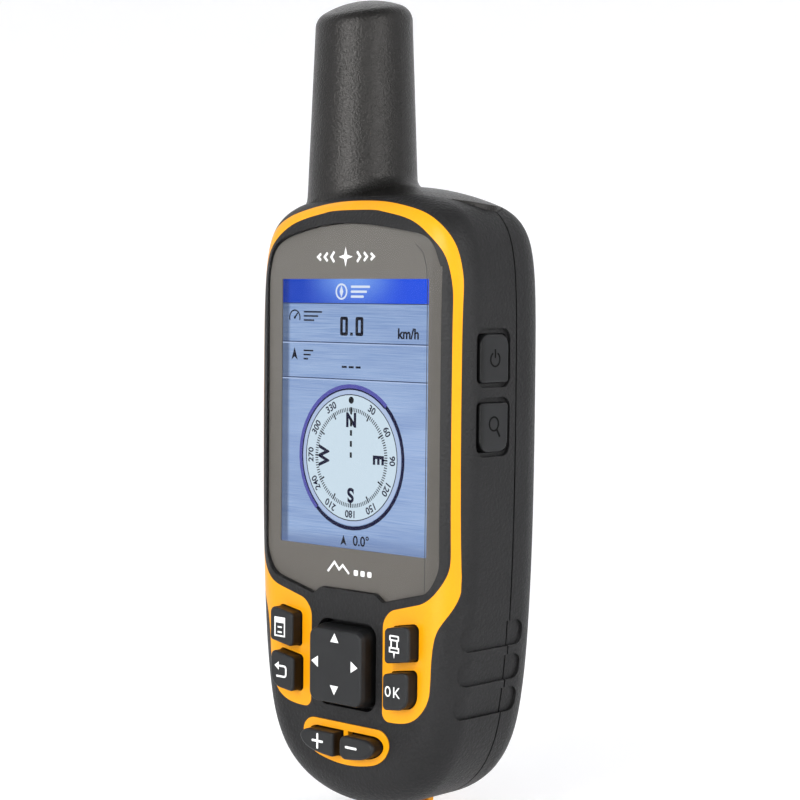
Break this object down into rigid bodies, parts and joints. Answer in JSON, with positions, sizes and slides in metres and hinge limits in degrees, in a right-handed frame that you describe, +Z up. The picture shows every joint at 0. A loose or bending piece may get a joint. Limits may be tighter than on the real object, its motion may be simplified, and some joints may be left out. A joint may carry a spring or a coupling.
{
  "type": "handheld gps unit",
  "caption": "Handheld satellite navigator with stub antenna, portrait display, key pad with four-way rocker, side keys and a latched battery door on the back.",
  "frame": {"origin": "bottom centre of the whole unit, under the lanyard lug", "axes": "+X to the right as the user sees the display, +Y from the display towards the back, +Z up towards the antenna"},
  "size_m": [0.0618, 0.0368, 0.1797],
  "materials": {
    "casing_rubber": "fine-grain soft-touch charcoal",
    "antenna_rubber": "fine-grain charcoal",
    "trim_yellow": "satin orange-yellow",
    "lens_glass": "clear polished",
    "lens_mask": "grey-brown print",
    "display_face": "lit liquid-crystal display",
    "backlight_white": "white light guide",
    "key_rubber": "smooth charcoal silicone",
    "seal_rubber": "black rubber",
    "foam_black": "black foam",
    "plated_steel": "zinc plated",
    "spring_steel": "bright",
    "ring_steel": "satin stainless",
    "board_green": "solder mask",
    "chip_black": "moulded package",
    "copper": "bare copper",
    "antenna_ceramic": "fired ceramic, bare",
    "ribbon_amber": "polyimide film",
    "tray_black": "moulded",
    "cell_wrap": "plain printed wrap",
    "can_tin": "tinned",
    "coax_black": "jacket"
  },
  "bodies": {
    "root": {"front_housing": "casing_rubber", "rear_housing": "casing_rubber", "antenna_cover": "antenna_rubber", "antenna_seal": "seal_rubber", "antenna_board": "board_green", "antenna_core": "antenna_ceramic", "antenna_strips": "copper", "antenna_coax": "coax_black", "coax_connector": "copper", "front_accent": "trim_yellow", "zoom_surround": "trim_yellow", "rear_accent": "trim_yellow", "case_seal": "seal_rubber", "display_lens": "lens_glass", "display_mask": "lens_mask", "lcd_gasket": "foam_black", "lcd_frame": "can_tin", "lcd_panel": "display_face", "lcd_backlight": "backlight_white", "display_ribbon": "ribbon_amber", "side_switch_board": "board_green", "side_switches": "chip_black", "keypad_mat": "seal_rubber", "snap_domes": "spring_steel", "main_board": "board_green", "board_chips": "chip_black", "shield_can": "can_tin", "beeper": "chip_black", "board_screws": "plated_steel", "case_screws": "plated_steel", "battery_tray": "tray_black", "battery_contacts": "spring_steel", "battery_springs": "spring_steel", "aa_cell_left": "cell_wrap", "aa_cell_right": "cell_wrap", "door_seal": "seal_rubber", "clip_rail": "tray_black", "rail_screws": "plated_steel", "port_board": "board_green", "usb_port": "can_tin"},
    "menu_key": {"menu_key": "key_rubber"},
    "back_key": {"back_key": "key_rubber"},
    "mark_key": {"mark_key": "key_rubber"},
    "ok_key": {"ok_key": "key_rubber"},
    "zoom_in_key": {"zoom_in_key": "key_rubber"},
    "zoom_out_key": {"zoom_out_key": "key_rubber"},
    "rocker_ball": {"rocker_ball": "spring_steel"},
    "rocker_pad": {"rocker_pad": "key_rubber"},
    "power_key": {"power_key": "key_rubber"},
    "find_key": {"find_key": "key_rubber"},
    "battery_door": {"battery_door": "casing_rubber"},
    "door_latch": {"door_latch": "ring_steel", "latch_clip": "spring_steel"},
    "latch_ring": {"latch_ring": "ring_steel"},
    "port_cover": {"port_cover": "key_rubber"}
  },
  "joints": [
    {"name": "menu_key_press", "type": "slide", "parent": "root", "child": "menu_key", "axis": [0, 1, 0], "range_m": [0, 0.0008], "stiffness_N_per_m": 2500},
    {"name": "back_key_press", "type": "slide", "parent": "root", "child": "back_key", "axis": [0, 1, 0], "range_m": [0, 0.0008], "stiffness_N_per_m": 2500},
    {"name": "mark_key_press", "type": "slide", "parent": "root", "child": "mark_key", "axis": [0, 1, 0], "range_m": [0, 0.0008], "stiffness_N_per_m": 2500},
    {"name": "ok_key_press", "type": "slide", "parent": "root", "child": "ok_key", "axis": [0, 1, 0], "range_m": [0, 0.0008], "stiffness_N_per_m": 2500},
    {"name": "zoom_in_key_press", "type": "slide", "parent": "root", "child": "zoom_in_key", "axis": [0, 1, 0], "range_m": [0, 0.0008], "stiffness_N_per_m": 2500},
    {"name": "zoom_out_key_press", "type": "slide", "parent": "root", "child": "zoom_out_key", "axis": [0, 1, 0], "range_m": [0, 0.0008], "stiffness_N_per_m": 2500},
    {"name": "rocker_tilt_up_down", "type": "hinge", "parent": "root", "child": "rocker_ball", "pos_m": [0, -0.01155, 0.0359], "axis": [1, 0, 0], "range_deg": [-4, 4], "stiffness_Nm_per_rad": 0.2},
    {"name": "rocker_tilt_left_right", "type": "hinge", "parent": "rocker_ball", "child": "rocker_pad", "pos_m": [0, -0.01155, 0.0359], "axis": [0, 0, 1], "range_deg": [-4, 4], "stiffness_Nm_per_rad": 0.2},
    {"name": "power_key_press", "type": "slide", "parent": "root", "child": "power_key", "axis": [-1, 0, 0], "range_m": [0, 0.0006], "stiffness_N_per_m": 3000},
    {"name": "find_key_press", "type": "slide", "parent": "root", "child": "find_key", "axis": [-1, 0, 0], "range_m": [0, 0.0006], "stiffness_N_per_m": 3000},
    {"name": "battery_door_lift", "type": "slide", "parent": "root", "child": "battery_door", "axis": [0, 1, 0], "range_m": [0, 0.03]},
    {"name": "door_latch_turn", "type": "hinge", "parent": "battery_door", "child": "door_latch", "pos_m": [0, 0.01505, 0.0208], "axis": [0, 1, 0], "range_deg": [0, 90]},
    {"name": "latch_ring_flip", "type": "hinge", "parent": "door_latch", "child": "latch_ring", "pos_m": [0, 0.01695, 0.0208], "axis": [-1, 0, 0], "range_deg": [0, 170]},
    {"name": "port_cover_swing", "type": "hinge", "parent": "root", "child": "port_cover", "pos_m": [0, 0.01545, 0.1204], "axis": [1, 0, 0], "range_deg": [0, 110]}
  ]
}
